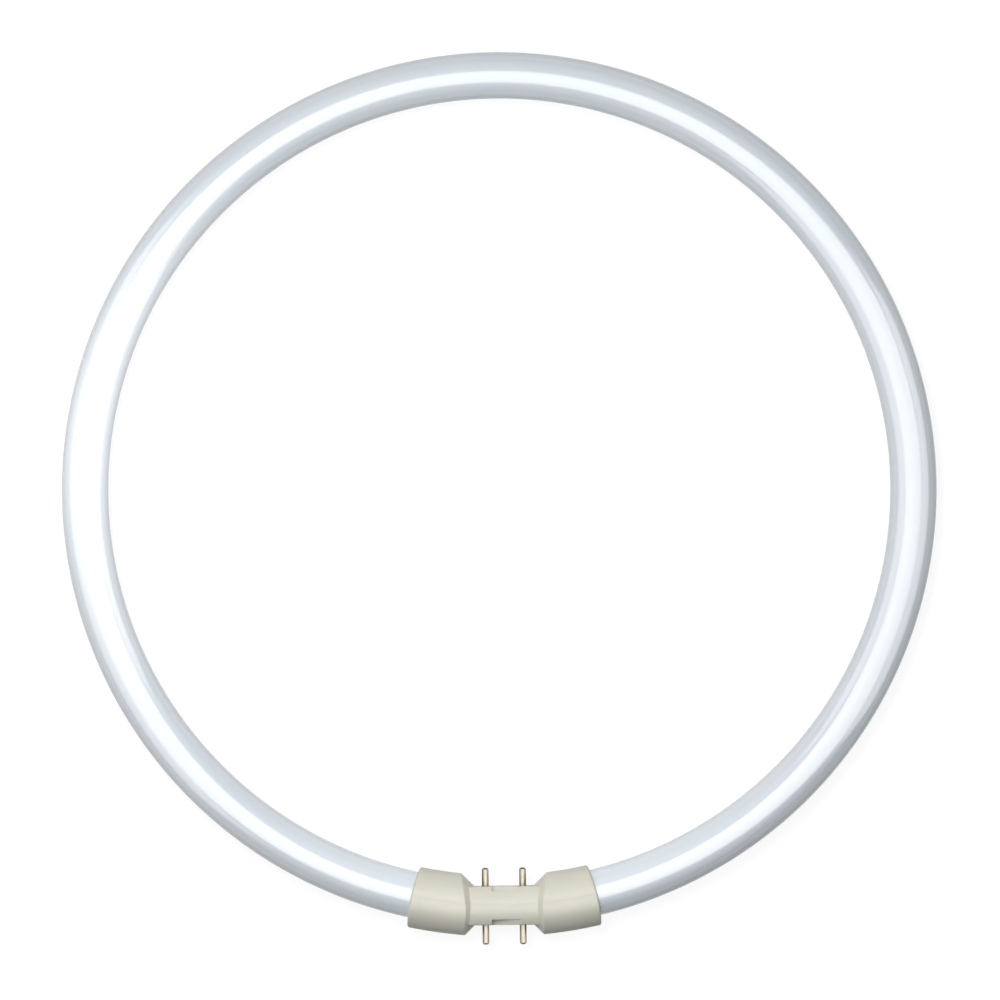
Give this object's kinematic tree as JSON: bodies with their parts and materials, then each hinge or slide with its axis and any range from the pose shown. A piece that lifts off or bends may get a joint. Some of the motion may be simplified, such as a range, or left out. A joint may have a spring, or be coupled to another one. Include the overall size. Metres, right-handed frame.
{
  "type": "circular fluorescent tube",
  "caption": "Ring of white coated glass tube, closed by a plastic cap with contact pins on its inner and outer sides, for a flat round light fitting.",
  "frame": {"origin": "the ring's centre, halfway up the glass tube", "axes": "+Z along the ring's axis, out of the lamp's front; -Y from the centre to the middle of the cap; +X to the right as the front is seen with the cap at the bottom"},
  "size_m": [0.3, 0.306, 0.0196],
  "materials": {
    "coated_glass": "gloss, white coating inside",
    "cap_plastic": "satin moulded",
    "pin_metal": "nickel plated",
    "lead_wire": "drawn"
  },
  "bodies": {
    "root": {"discharge_tube": "coated_glass", "cap_inner_shell": "cap_plastic", "cap_outer_shell": "cap_plastic", "inner_pin_left": "pin_metal", "inner_pin_right": "pin_metal", "outer_pin_left": "pin_metal", "outer_pin_right": "pin_metal", "inner_lead_left": "lead_wire", "inner_lead_right": "lead_wire", "outer_lead_left": "lead_wire", "outer_lead_right": "lead_wire"}
  },
  "joints": []
}
